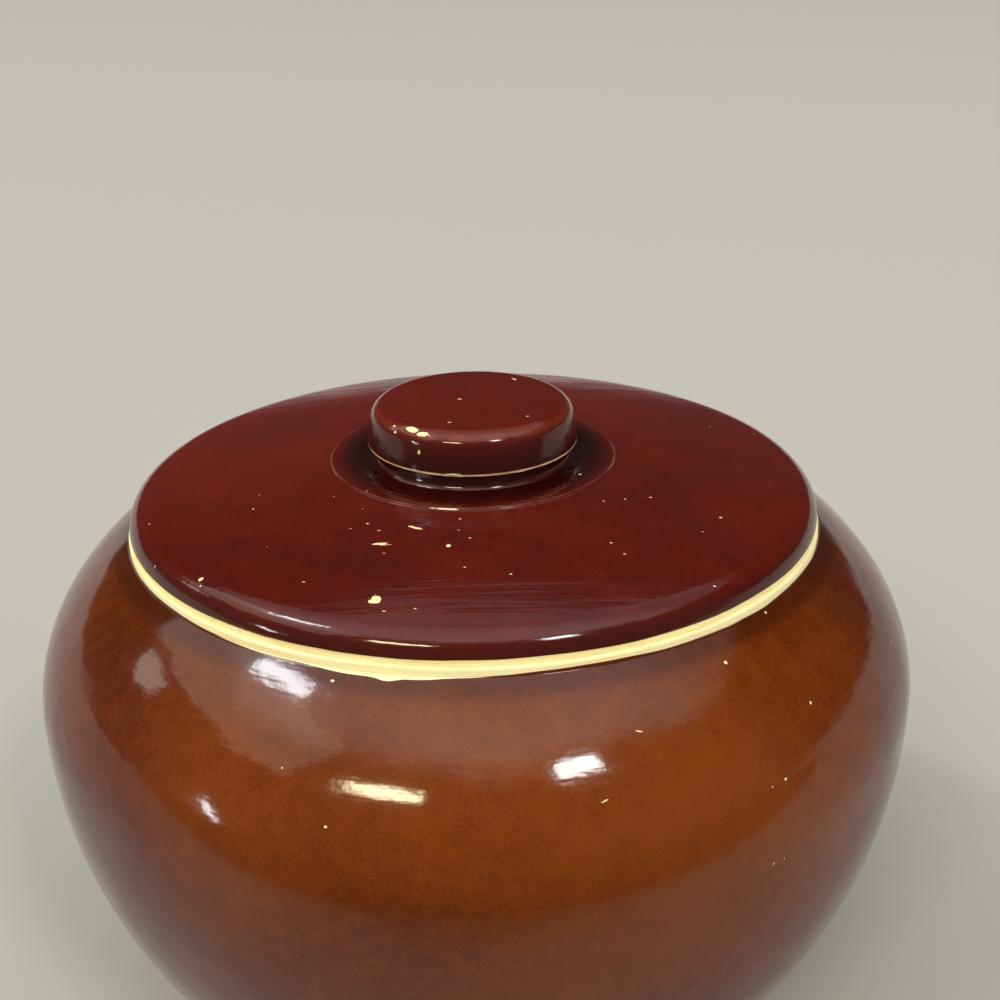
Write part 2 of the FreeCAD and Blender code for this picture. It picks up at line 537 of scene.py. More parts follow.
@dataclass(frozen=True)
class Glaze:
    """An iron-bearing stoneware glaze, dipped and fired glossy.

    The eye sees a wet, glassy surface with the small ripple that potters call orange peel, a
    body colour that drifts in patches and is mottled finely, paler lines where it runs thin
    over an arris, turning lines that show through it, and a few pinholes. Light is painted into
    it too: one side lighter and the rest darker, shade towards the foot, and rings of painted
    shade and painted highlight.
    """

    name: str
    dark: str               # where it lies thick, and where shade is painted in
    light: str              # where it lies thinner, and where light is painted in
    clay: str               # at the bottom of a pinhole
    patch_mm: float
    mottle_mm: float
    grain_mm: float
    contrast: float         # how much of the way from dark to light the mottling goes
    peel_mm: float          # width of a ripple
    peel_depth_mm: float
    swell_mm: float
    swell_depth_mm: float
    streak_mm: tuple[float, float, float]   # size of a streak that dipping or brushing left
    streak_turn: float      # its turn from the x axis, in degrees
    streak_depth_mm: float
    turning_depth_mm: float
    turning_reach_mm: float     # radius out to which turning lines show
    pinhole_every_mm: float
    pinhole_mm: float       # radius
    roughness: float
    pinhole_floor: float = 0.6  # share of its radius that is its bottom
    pinhole_depth_mm: float = 0.12
    pinhole_roughness: float = 0.55
    turning_mm: float = 1.1     # from one turning line to the next
    turning_full: float = 0.9   # share of their reach within which they show in full
    weights: tuple[float, float, float] = (0.4, 0.25, 0.35)  # of patches, mottle and grain
    noise_span: tuple[float, float] = (0.36, 0.64)      # what the three mixed really fill
    painted_light_bearing: float = 0.0   # side where light is painted in, in degrees
    painted_light_gain: float = 0.0      # painted light: how much lighter it is there
    painted_shade_share: float = 0.7      # painted shade: how much darker away from there, as a share of that
    painted_light_reach: float = 100.0   # distance from the axis there, in millimetres
    painted_light_from: float = 0.42     # share of that distance at which the painted light starts
    painted_shade_below: float = 0.0    # height below which shade is painted in, in millimetres
    painted_shade_loss: float = 0.0     # painted shade: how much darker it is at the foot
    painted_shade_full: float = 0.65    # share of that height at which the painted shade is full
    rings: tuple[Ring, ...] = ()

    def material(self) -> bpy.types.Material:
        """Builds the glaze as a material."""
        material, tree, output = new_material(self.name)
        place = add_node(tree, "TexCoord").outputs["Object"]
        axes = add_node(tree, "SeparateXYZ", {0: place})
        level = add_node(tree, "CombineXYZ", {0: axes.outputs[0], 1: axes.outputs[1]})
        radius = add_node(tree, "VectorMath", {0: level.outputs[0]},
                          operation="LENGTH").outputs["Value"]
        patches, mottle, grain = (
            add_node(tree, "TexNoise",
                     {"Vector": place, "Scale": 1 / (size * MM), "Detail": detail}).outputs[0]
            for size, detail in ((self.patch_mm, 2), (self.mottle_mm, 4), (self.grain_mm, 2)))
        mixed: bpy.types.NodeSocket | float = 0.0
        for layer, weight in zip((patches, mottle, grain), self.weights):
            mixed = add_node(tree, "Math", {0: layer, 1: weight, 2: mixed},
                             operation="MULTIPLY_ADD").outputs[0]
        tone = add_node(tree, "MapRange",
                        {"Value": mixed, "From Min": self.noise_span[0],
                         "From Max": self.noise_span[1],
                         "To Min": 0.5 - self.contrast / 2,
                         "To Max": 0.5 + self.contrast / 2}).outputs[0]
        # painted light: lighter on one side, with painted shade round the rest
        if self.painted_light_gain:
            tone = self._painted_side_light(tree, level.outputs[0], tone)
        # painted shade: darker towards the foot
        if self.painted_shade_loss:
            low = add_node(tree, "MapRange",
                           {"Value": axes.outputs[2],
                            "From Min": self.painted_shade_full * self.painted_shade_below * MM,
                            "From Max": self.painted_shade_below * MM, "To Min": -self.painted_shade_loss,
                            "To Max": 0.0}, interpolation_type="SMOOTHSTEP")
            tone = add_node(tree, "Math", {0: tone, 1: low.outputs[0]},
                            operation="ADD", use_clamp=True).outputs[0]
        colour = add_node(tree, "Mix",
                          {0: tone, 6: linear(self.dark), 7: linear(self.light)},
                          data_type="RGBA").outputs[2]
        for ring in self.rings:
            colour = self._ringed(tree, radius, axes.outputs[2], mottle, colour, ring)
        cells = add_node(tree, "TexVoronoi",
                         {"Vector": place, "Scale": 1 / (self.pinhole_every_mm * MM)})
        edge = self.pinhole_mm / self.pinhole_every_mm
        pinhole = add_node(tree, "MapRange",
                           {"Value": cells.outputs["Distance"], "From Min": edge,
                            "From Max": self.pinhole_floor * edge,
                            "To Min": 0.0, "To Max": 1.0},
                           interpolation_type="SMOOTHSTEP").outputs[0]
        colour = add_node(tree, "Mix", {0: pinhole, 6: colour, 7: linear(self.clay)},
                          data_type="RGBA").outputs[2]
        shine = add_node(tree, "MapRange",
                         {"Value": pinhole, "To Min": self.roughness,
                          "To Max": self.pinhole_roughness})
        shader = add_node(tree, "BsdfPrincipled",
                          {"Base Color": colour, "Roughness": shine.outputs[0], "IOR": GLASS_IOR,
                           "Normal": self._relief(tree, place, radius, pinhole)})
        tree.links.new(shader.outputs[0], output.inputs["Surface"])
        return material

    def _painted_side_light(self, tree: bpy.types.NodeTree, level: bpy.types.NodeSocket,
                 tone: bpy.types.NodeSocket) -> bpy.types.NodeSocket:
        """Paints light into the coat: lighter on one side, with painted shade away from it.

        Args:
            tree: the material's nodes.
            level: object coordinates without their height.
            tone: 0 for the thick colour and 1 for the thin one.

        Returns:
            The new tone.
        """
        bearing = math.radians(self.painted_light_bearing)
        along = add_node(tree, "VectorMath",
                         {0: level, 1: (math.cos(bearing), math.sin(bearing), 0)},
                         operation="DOT_PRODUCT")
        reach = self.painted_light_reach * MM
        gain = add_node(tree, "MapRange",
                        {"Value": along.outputs["Value"], "From Min": self.painted_light_from * reach,
                         "From Max": reach,
                         "To Min": -self.painted_shade_share * self.painted_light_gain, "To Max": self.painted_light_gain},
                        interpolation_type="SMOOTHSTEP")
        return add_node(tree, "Math", {0: tone, 1: gain.outputs[0]}, operation="ADD",
                        use_clamp=True).outputs[0]

    def _ringed(self, tree: bpy.types.NodeTree, radius: bpy.types.NodeSocket,
                height: bpy.types.NodeSocket, mottle: bpy.types.NodeSocket,
                colour: bpy.types.NodeSocket, ring: Ring) -> bpy.types.NodeSocket:
        """Changes the glaze's colour along one ring.

        Args:
            tree: the material's nodes.
            radius: distance from the axis.
            height: height above the floor.
            mottle: noise that makes the ring uneven.
            colour: the glaze's colour so far.
            ring: the ring.

        Returns:
            The colour with the ring in it.
        """
        aside = add_node(tree, "Math", {0: radius, 1: ring.radius * MM},
                         operation="SUBTRACT")
        above = add_node(tree, "Math", {0: height, 1: ring.height * MM},
                         operation="SUBTRACT")
        gap = add_node(tree, "CombineXYZ", {0: aside.outputs[0], 1: above.outputs[0]})
        away = add_node(tree, "VectorMath", {0: gap.outputs[0]}, operation="LENGTH")
        near = add_node(tree, "MapRange",
                        {"Value": away.outputs["Value"], "From Min": ring.fade * MM,
                         "From Max": ring.core * MM, "To Min": 0.0, "To Max": ring.strength},
                        interpolation_type="SMOOTHSTEP")
        uneven = add_node(tree, "MapRange",
                          {"Value": mottle, "From Min": ring.mottle_span[0],
                           "From Max": ring.mottle_span[1],
                           "To Min": ring.steady, "To Max": 1.0})
        share = add_node(tree, "Math", {0: near.outputs[0], 1: uneven.outputs[0]},
                         operation="MULTIPLY")
        return add_node(tree, "Mix",
                        {0: share.outputs[0], 6: colour, 7: linear(ring.colour)},
                        data_type="RGBA").outputs[2]

    def _relief(self, tree: bpy.types.NodeTree, place: bpy.types.NodeSocket,
                radius: bpy.types.NodeSocket,
                pinhole: bpy.types.NodeSocket) -> bpy.types.NodeSocket:
        """Adds what is too fine to model: swells, orange peel, streaks and pinholes.

        Args:
            tree: the material's nodes.
            place: object coordinates.
            radius: distance from the axis.
            pinhole: 1 inside a pinhole and 0 outside.

        Returns:
            The normal that the shader takes.
        """
        brushed = add_node(tree, "Mapping",
                           {"Vector": place, "Rotation": (0, 0, math.radians(-self.streak_turn)),
                            "Scale": tuple(1 / size for size in self.streak_mm)})
        layers = []
        for vector, size, depth, detail in ((place, self.swell_mm, self.swell_depth_mm, 1),
                                            (place, self.peel_mm, self.peel_depth_mm, 2),
                                            (brushed.outputs[0], 1.0, self.streak_depth_mm, 2)):
            height = add_node(tree, "TexNoise",
                              {"Vector": vector, "Scale": 1 / (size * MM), "Detail": detail})
            layers.append((height.outputs[0], depth))
        if self.turning_depth_mm:
            layers.append((self._turning(tree, radius), self.turning_depth_mm))
        layers.append((pinhole, -self.pinhole_depth_mm))
        relief: dict[str | int, Any] = {}
        for height, depth in layers:
            relief |= {"Height": height, "Strength": 1.0, "Distance": abs(depth) * MM}
            relief["Normal"] = add_node(tree, "Bump", relief, invert=depth < 0).outputs[0]
        return relief["Normal"]

    def _turning(self, tree: bpy.types.NodeTree,
                 radius: bpy.types.NodeSocket) -> bpy.types.NodeSocket:
        """Draws the turning lines round the middle of the piece, as a height from 0 to 1."""
        rows = add_node(tree, "TexNoise",
                        {"W": radius, "Scale": 1 / (self.turning_mm * MM), "Detail": 1},
                        noise_dimensions="1D")
        reach = self.turning_reach_mm
        left = add_node(tree, "MapRange",
                        {"Value": radius, "From Min": reach * MM,
                         "From Max": self.turning_full * reach * MM,
                         "To Min": 0.0, "To Max": 1.0}, interpolation_type="SMOOTHSTEP")
        return add_node(tree, "Math", {0: rows.outputs[0], 1: left.outputs[0]},
                        operation="MULTIPLY").outputs[0]


@dataclass(frozen=True)
class BareStoneware:
    """Buff stoneware left bare and fired.

    The eye sees a dry, pale clay without gloss, fine level lines where it was turned and
    sponged, a little iron speckle, and a warm flush along the turned lines.
    """

    name: str
    clay: str
    flush: str              # in the turned lines
    speck: str              # of iron
    flush_most: float = 0.75    # how much of the way to the flush the clay goes
    flush_span: tuple[float, float] = (0.45, 0.75)  # of the lines' noise that takes it there
    speck_most: float = 0.6
    speck_span: tuple[float, float] = (0.66, 0.74)
    line_run: float = 0.03  # how thin a line is for its length, round the piece
    line_mm: float = 0.45   # from one turned line to the next
    line_depth_mm: float = 0.05
    grain_mm: float = 0.5
    grain_depth_mm: float = 0.03
    roughness: float = 0.72

    def material(self) -> bpy.types.Material:
        """Builds the bare clay as a material."""
        material, tree, output = new_material(self.name)
        place = add_node(tree, "TexCoord").outputs["Object"]
        level = add_node(tree, "Mapping",
                         {"Vector": place, "Scale": (self.line_run, self.line_run, 1.0)})
        marks = ((level.outputs[0], self.line_mm, 2, self.flush_span, self.flush_most,
                  self.flush, self.line_depth_mm),
                 (place, self.grain_mm, 3, self.speck_span, self.speck_most, self.speck,
                  self.grain_depth_mm))
        colour: Any = linear(self.clay)
        relief: dict[str | int, Any] = {}
        for vector, size, detail, (least, full), most, tint, depth in marks:
            mark = add_node(tree, "TexNoise", {"Vector": vector, "Scale": 1 / (size * MM),
                                               "Detail": detail}).outputs[0]
            share = add_node(tree, "MapRange", {"Value": mark, "From Min": least,
                                                "From Max": full, "To Min": 0.0, "To Max": most})
            colour = add_node(tree, "Mix", {0: share.outputs[0], 6: colour, 7: linear(tint)},
                              data_type="RGBA").outputs[2]
            relief |= {"Height": mark, "Strength": 1.0, "Distance": depth * MM}
            relief["Normal"] = add_node(tree, "Bump", relief).outputs[0]
        shader = add_node(tree, "BsdfPrincipled",
                          {"Base Color": colour, "Roughness": self.roughness,
                           "IOR": GLASS_IOR, "Normal": relief["Normal"]})
        tree.links.new(shader.outputs[0], output.inputs["Surface"])
        return material


# Amber-brown glaze with much iron: honey on the front, where light is painted in, darker round
# the sides and towards the foot, where shade is painted in, and a dark ring just under the lip.
# The relief of all glazes here is a little deeper than the real one, so that it breaks the
# highlights at this size.
POT_GLAZE = Glaze(
    name="amber_brown_glaze_dipped_glossy", dark="#481504", light="#76370A", clay="#F0E1B4",
    patch_mm=40, mottle_mm=4, grain_mm=0.5, contrast=0.7, peel_mm=3.0, peel_depth_mm=0.03,
    swell_mm=18, swell_depth_mm=0.4, streak_mm=(12, 12, 1.8), streak_turn=0,
    streak_depth_mm=0.04, turning_depth_mm=0.0, turning_reach_mm=0.0, pinhole_every_mm=14,
    # painted light: lighter on the front; painted shade: darker round the sides and towards the
    # foot
    pinhole_mm=0.3, roughness=0.10, painted_light_bearing=-84, painted_light_gain=0.34, painted_shade_below=108,
    painted_shade_loss=0.4, rings=(Ring(80.3, 125.0, "#2A0C04", 1.0, 4.2, 0.6, 0.5),))
# Bare buff clay: dry, cream-coloured and faintly lined, a little more flushed on the lid.
POT_CLAY = BareStoneware(name="buff_stoneware_bare_lip", clay="#FCF1B8", flush="#F0D692",
                         speck="#B88A50")
LID_CLAY = BareStoneware(name="buff_stoneware_bare_edge", clay="#FBEDB0", flush="#EFD08A",
                         speck="#A87440")


# ---------------------------------------------------------------- the pot


@dataclass(frozen=True)
class Pot:
    """The body: foot ring, two-curve belly, bare lip and seat. Sizes are in millimetres."""

    mouth_radius: float = 70.3
    rim_width: float = 8.3
    rim_height: float = 1.9
    rim_outer_round: float = 0.6
    rim_inner_round: float = 1.5
    belly_swell: float = 22.8
    belly_height: float = 89.0
    shoulder_rise: float = 36.6
    foot_radius: float = 61.0
    foot_width: float = 6.0
    foot_height: float = 3.0
    foot_ledge: float = 1.0
    foot_recess: float = 2.0
    foot_round: float = 0.8
    ledge_round: float = 0.3
    lip_crease: float = 0.5         # round where the glaze turns up against the lip
    wall: float = 7.0
    floor_thickness: float = 7.0
    floor_corner: float = 14.0
    throat_round: float = 2.0
    bare_throat: float = 3.0        # bare clay below the seat, inside the mouth
    throat_step: float = 0.3        # height in which that clay steps back behind the glaze
    foot_glaze_gap: float = 1.2     # bare clay above the foot's ledge
    lip_climb: float = 0.7          # how far the glaze may climb the lip's side
    lip_line: GlazeLine = GlazeLine(
        0.3, 18.0, 3.7, 0.55, (Sag(-145, 15, -0.55), Sag(-107, 6, 0.5), Sag(-102.3, 1.6, 0.8),
                               Sag(-98, 3, 0.4), Sag(-75, 12, -0.55), Sag(-35, 25, -0.15)))
    lip_reach: float = 6.0          # how much of the glaze moves with its edge
    lip_zone: float = 4.0           # height of the finer rows there
    foot_line: GlazeLine = GlazeLine(2.0, 30.0, 8.1)
    foot_reach: float = 8.0
    foot_zone: float = 6.0
    swell_depth: float = 0.1        # of the hand's swells in the glaze
    swell_size: float = 28.0

    @property
    def rim_radius(self) -> float:
        """Outside of the lip."""
        return self.mouth_radius + self.rim_width

    @property
    def belly_radius(self) -> float:
        """Widest radius."""
        return self.rim_radius + self.belly_swell

    @property
    def rim_foot(self) -> float:
        """Height of the bottom of the lip."""
        return self.belly_height + self.shoulder_rise

    @property
    def seat(self) -> float:
        """Height of the seat that carries the lid."""
        return self.rim_foot + self.rim_height

    def _semi_axes(self) -> tuple[float, float]:
        """Upright semi-axes of the belly's lower and upper curve."""
        ledge = (self.foot_radius + self.foot_ledge) / self.belly_radius
        rim = self.rim_radius / self.belly_radius
        return ((self.belly_height - self.foot_height) / math.sqrt(1 - ledge ** 2),
                self.shoulder_rise / math.sqrt(1 - rim ** 2))

    def _belly(self, outline: Outline, gain: float, heights: tuple[float, ...],
               rows: tuple[int, ...], corner: float = 0.0) -> Outline:
        """Draws the belly's curve through heights, moved out by a gain.

        Args:
            outline: the outline so far, which ends on the curve.
            gain: distance outwards from the belly's outer surface, negative for inwards.
            heights: heights to pass, in order. The widest one is among them if it is crossed.
            rows: rows to each of them.
            corner: round before the first leg.

        Returns:
            The outline.
        """
        semi_radius = self.belly_radius + gain
        centre = Vector((0, self.belly_height))
        for height, count in zip(heights, rows):
            middle = (height + outline.points[-1].y) / 2
            semi_height = self._semi_axes()[middle > self.belly_height] + gain
            outline.curve_to(self._belly_at(height, gain), height, centre, semi_radius,
                             semi_height, count, corner)
            corner = 0.0
        return outline

    def _belly_at(self, height: float, gain: float) -> float:
        """Radius of the belly's curve at a height, moved out by a gain."""
        semi_height = self._semi_axes()[height > self.belly_height] + gain
        rise = (height - self.belly_height) / semi_height
        return (self.belly_radius + gain) * math.sqrt(1 - rise ** 2)

    def outside(self) -> list[Vector]:
        """The glazed outside, from just above the foot up to the lip."""
        low = self.foot_height + self.foot_glaze_gap
        outline = Outline(self._belly_at(low, 0), low)
        heights = (low + self.foot_zone, self.belly_height, self.rim_foot - self.lip_zone,
                   self.rim_foot)
        self._belly(outline, 0, heights, (12, 34, 18, 14))
        return outline.line_to(self.rim_radius, self.rim_foot + self.lip_climb, 4,
                               self.lip_crease).points

    def inside(self, gain: float) -> Outline:
        """The inside from the mouth down to the middle of the floor.

        Args:
            gain: distance that the surface lies deeper in the clay than the glaze's surface.

        Returns:
            The outline.
        """
        inner = gain - self.wall
        upper = self._semi_axes()[1] + inner
        mouth = self.mouth_radius + gain
        throat = (self.belly_height
                  + upper * math.sqrt(1 - (mouth / (self.belly_radius + inner)) ** 2))
        floor = self.foot_recess + self.floor_thickness - gain
        outline = Outline(mouth, self.seat - self.bare_throat).line_to(mouth, throat, 2)
        self._belly(outline, inner, (self.belly_height, floor), (20, 36), self.throat_round)
        return outline.line_to(0, floor, 16, corner=self.floor_corner)

    def section(self) -> list[Vector]:
        """The whole clay body, as a closed section from axis to axis."""
        foot_inside = self.foot_radius - self.foot_width
        lip = self.rim_radius - GLAZE_COAT
        outline = Outline(0, self.foot_recess).line_to(foot_inside, self.foot_recess, 12)
        outline.line_to(foot_inside, 0, corner=self.foot_round)
        outline.line_to(self.foot_radius, 0, 2, self.foot_round)
        outline.line_to(self.foot_radius, self.foot_height, corner=self.foot_round)
        outline.line_to(self._belly_at(self.foot_height, -GLAZE_COAT), self.foot_height,
                        corner=self.ledge_round)
        top = self.rim_foot
        self._belly(outline, -GLAZE_COAT, (self.belly_height, top - 1, top), (30, 22, 3),
                    self.ledge_round)
        outline.line_to(lip, top + 0.2, 1, 0.1)
        outline.line_to(lip, self.seat, 4)
        outline.line_to(self.mouth_radius, self.seat, 3, self.rim_outer_round)
        outline.line_to(self.mouth_radius, self.seat - self.bare_throat + self.throat_step, 2,
                        self.rim_inner_round)
        return outline.points + self.inside(GLAZE_COAT).points

    def build(self) -> None:
        """Models and dresses the clay, the glaze outside and the glaze inside."""
        glaze = POT_GLAZE.material()
        clay = turn_piece("pot_clay", self.section())
        finish_piece(clay, POT_CLAY.material(), Body.POT)
        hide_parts("pot")

        path = self.outside()
        outer = turn_piece("pot_glaze_outside", path)
        wander(outer, path, self.lip_line, self.lip_reach)
        wander(outer, path[::-1], self.foot_line, self.foot_reach)
        soften(outer, self.swell_depth, self.swell_size)
        coat_wall(outer)
        knock_out(outer, path[::-1], self.chips())
        finish_piece(outer, glaze, Body.POT)

        inner = turn_piece("pot_glaze_inside", self.inside(0).points, facing_axis=True)
        coat_wall(inner)
        finish_piece(inner, glaze, Body.POT)

    def chips(self) -> tuple[Chip, ...]:
        """The few places where the glaze outside is pitted."""
        rows = (     # bearing, radius, height, length, width and lean
            (-109.8, 80.6, 124.2, 1.0, 0.7), (-43.2, 79.5, 124.9, 0.8, 0.8),
            (-55.2, 83.4, 121.9, 0.9, 0.9), (-45.8, 93.4, 111.6, 0.8, 0.9),
            (-53.8, 98.9, 101.7, 0.9, 0.7), (-106.8, 98.2, 103.5, 0.9, 0.6),
            (-70.7, 88.8, 116.9, 1.7, 0.4, -20), (-76.5, 95.7, 108.2, 1.9, 0.4, 15),
            (-54.9, 101.3, 85.9, 0.7, 0.8), (-56.5, 101.3, 85.3, 0.8, 0.7))
        return tuple(Chip(*row) for row in rows)


# ---------------------------------------------------------------- the lid


@dataclass(frozen=True)
class Lid:
    """The lid: dome, rounded shoulder, bare edge, flange and disc knob, in millimetres."""

    radius: float = 78.0
    seat: float = 127.5
    edge: float = 1.3
    shoulder: float = 5.4
    rise: float = 11.5
    thickness: float = 6.0
    flange_radius: float = 69.1
    flange_width: float = 5.0
    flange_depth: float = 6.0
    flange_round: float = 1.5
    flange_root: float = 0.8
    underside_round: float = 2.5
    disc_radius: float = 32.3
    disc_step: float = 0.5
    disc_round: float = 0.2
    disc_bevel: float = 0.25        # how far its step leans out
    disc_crease: float = 0.3        # round in the corner between its step and the dome
    groove_radius: float = 26.8
    groove_slope: float = 2.6
    groove_depth: float = 0.9
    groove_round: float = 1.6
    neck_radius: float = 21.4
    neck_height: float = 3.4
    neck_round: float = 1.0
    neck_cove: float = 2.0
    knob_radius: float = 22.6
    knob_flare: float = 1.3
    knob_thickness: float = 9.7
    knob_crown: float = 0.4
    knob_round: float = 3.6
    knob_arris: float = 0.45
    hairlines: tuple[float, ...] = (0.42, 0.86)     # turned in the bare edge, below the glaze
    hairline_depth: float = 0.07
    hairline_flare: float = 1.2     # half its width for a depth of 1
    edge_round: float = 0.15
    bare_flange: float = 2.5        # bare clay inside the flange, above its foot
    bare_row: float = 0.2           # from the last bare row of clay there up to the glaze
    edge_line: GlazeLine = GlazeLine(0.28, 16.0, 5.3)
    edge_reach: float = 3.0         # how much of the glaze moves with its edge
    under_line: GlazeLine = GlazeLine(1.2, 25.0, 2.2)
    under_reach: float = 5.0
    swell_depth: float = 0.08       # of the hand's swells in the glaze
    swell_size: float = 30.0

    @property
    def edge_height(self) -> float:
        """Top of the bare edge."""
        return self.seat + self.edge

    @property
    def apex(self) -> float:
        """Top of the dome, under the knob."""
        return self.edge_height + self.rise

    @property
    def sphere(self) -> float:
        """Radius of the dome's arc, which runs tangent into the shoulder."""
        reach = self.radius - self.shoulder
        return ((reach ** 2 + self.rise ** 2 - self.shoulder ** 2)
                / (2 * (self.rise - self.shoulder)))

    @property
    def disc(self) -> float:
        """Height of the flat disc on the dome."""
        return self._dome(self.disc_radius) + self.disc_step

    @property
    def knob_base(self) -> float:
        """Height of the knob's underside."""
        return self.disc + self.neck_height

    def _dome(self, radius: float, lift: float = 0.0) -> float:
        """Height of the dome, or of a surface lift above it, at a radius."""
        sphere = self.sphere + lift
        return self.apex + lift - sphere + math.sqrt(sphere ** 2 - radius ** 2)

    def upper(self, inset: float) -> Outline:
        """The lid from the middle of the knob down to the glaze line.

        Args:
            inset: distance of the surface inside the glaze's own.

        Returns:
            The outline.
        """
        middle = Vector((0, self.apex - self.sphere))
        top, base = self.knob_base + self.knob_thickness, self.knob_base + inset
        crown = (self.knob_radius ** 2 + self.knob_crown ** 2) / (2 * self.knob_crown)
        neck, level = self.neck_radius - inset, self.disc - inset
        ramp = math.atan2(self.groove_depth, self.groove_slope)
        shift = inset * math.tan(ramp / 2)

        outline = Outline(0, top - inset)
        outline.curve_to(self.knob_radius - inset, top - self.knob_crown - inset,
                         Vector((0, top - crown)), crown - inset, crown - inset, 16)
        outline.line_to(self.knob_radius + self.knob_flare - inset, base, 4,
                        self.knob_round - inset)
        outline.line_to(neck, base, 2, self.knob_arris - 0.6 * inset)
        outline.line_to(neck, level - self.groove_depth, 1, self.neck_round + inset)
        outline.line_to(self.groove_radius - self.groove_slope + shift,
                        level - self.groove_depth, 2, self.neck_cove + inset)
        outline.line_to(self.groove_radius + shift, level, 3, self.groove_round)
        outline.line_to(self.disc_radius - inset, level, 6, self.groove_round)
        foot = self.disc_radius + self.disc_bevel
        outline.line_to(foot, self._dome(foot, -inset), 1, self.disc_round)
        slope = math.asin((self.radius - self.shoulder) / (self.sphere - self.shoulder))
        tangent = (self.sphere - inset) * math.sin(slope)
        outline.curve_to(tangent, self._dome(tangent, -inset), middle, self.sphere - inset,
                         self.sphere - inset, 26, self.disc_crease)
        corner = Vector((self.radius - self.shoulder, self.edge_height))
        round_off = self.shoulder - inset
        outline.curve_to(self.radius - inset, self.edge_height, corner, round_off, round_off, 18)
        return outline

    def under(self, inset: float) -> Outline:
        """The hollow under the lid, from inside the flange to the middle.

        Args:
            inset: distance that the surface lies deeper in the clay than the glaze's surface.

        Returns:
            The outline.
        """
        hollow = self.flange_radius - self.flange_width + inset
        lift = inset - self.thickness
        ceiling = self.sphere + lift
        outline = Outline(hollow, self.seat - self.flange_depth + self.bare_flange)
        outline.line_to(hollow, self._dome(hollow, lift), 6)
        return outline.curve_to(0, self._dome(0, lift), Vector((0, self.apex - self.sphere)),
                                ceiling, ceiling, 24, self.underside_round)

    def section(self) -> list[Vector]:
        """The whole clay lid, as a closed section from axis to axis."""
        side = self.radius - GLAZE_COAT
        foot = self.seat - self.flange_depth
        hollow = self.flange_radius - self.flange_width + GLAZE_COAT
        outline = self.upper(GLAZE_COAT)
        for drop in self.hairlines:
            middle, half = self.edge_height - drop, self.hairline_flare * self.hairline_depth
            outline.line_to(side, middle + half)
            outline.line_to(side - self.hairline_depth, middle)
            outline.line_to(side, middle - half)
        outline.line_to(side, self.seat)
        outline.line_to(self.flange_radius, self.seat, 3, self.edge_round)
        outline.line_to(self.flange_radius, foot, 2, self.flange_root)
        outline.line_to(hollow, foot, 1, self.flange_round)
        outline.line_to(hollow, foot + self.bare_flange - self.bare_row, 1, self.flange_round)
        return outline.points + self.under(GLAZE_COAT).points

    def glaze(self) -> Glaze:
        """The lid's glaze, which breaks over the knob's arris, with painted shade round its neck.

        Oxblood brown, redder than the pot's and more even, its red partly a painted reflection of
        red surroundings, with the brush's streaks across it. Light is painted into its back and
        shade into its front, the knob's side and the lower shoulder, with a painted highlight at
        the foot of the knob's neck.
        """
        base, wide = self.knob_base, self.knob_radius + self.knob_flare
        top = base + self.knob_thickness - self.knob_crown
        # painted shade and a painted dark reflection of the knob, on the disc round its neck
        neck = Ring(self.neck_radius + 1.0, self.disc - 0.2, "#240605", 4.6, 12.0, 0.9, 1.0)
        # painted shade on the knob's side
        side = Ring(wide + 0.2, base + 3.6, "#2C0A05", 2.6, 5.4, 0.6, 0.8)
        crest = Ring(self.knob_radius - 0.6, top - 1.1, "#86402A", 0.2, 1.6, 0.35)
        arris = Ring(wide - 0.1, base + 0.2, "#F0C090", 0.22, 0.55, 0.95, 0.55)
        # painted highlight: a pink sheen in the hollow at the foot of the knob's neck
        cove_painted_highlight = Ring(self.neck_radius + 0.8, self.disc + 0.35, "#B0604A", 0.2, 0.8, 0.55)
        edge = Ring(self.disc_radius, self.disc, "#B87A60", 0.1, 0.4, 0.15, 0.2)
        # painted shade on the lid's lower shoulder, just above the bare edge
        lip = Ring(self.radius, self.edge_height + 1.0, "#30100A", 1.2, 3.6, 0.6, 0.7)
        return Glaze(
            # oxblood colours: their red is partly a painted reflection of red surroundings
            name="oxblood_brown_glaze_dipped_glossy", dark="#460F08", light="#6D1C0E",
            clay="#F0E1B4", patch_mm=30, mottle_mm=4, grain_mm=0.5, contrast=0.6, peel_mm=3.0,
            peel_depth_mm=0.012, swell_mm=20, swell_depth_mm=0.15, streak_mm=(30, 1.8, 1.8),
            streak_turn=20, streak_depth_mm=0.05, turning_depth_mm=0.05, turning_reach_mm=31.0,
            # painted reflection: lighter towards the back of the lid, darker towards the front
            pinhole_every_mm=15, pinhole_mm=0.3, roughness=0.10, painted_light_bearing=105,
            painted_light_gain=0.42, painted_light_reach=75, painted_light_from=-1,
            rings=(neck, side, lip, crest, edge, cove_painted_highlight, arris))

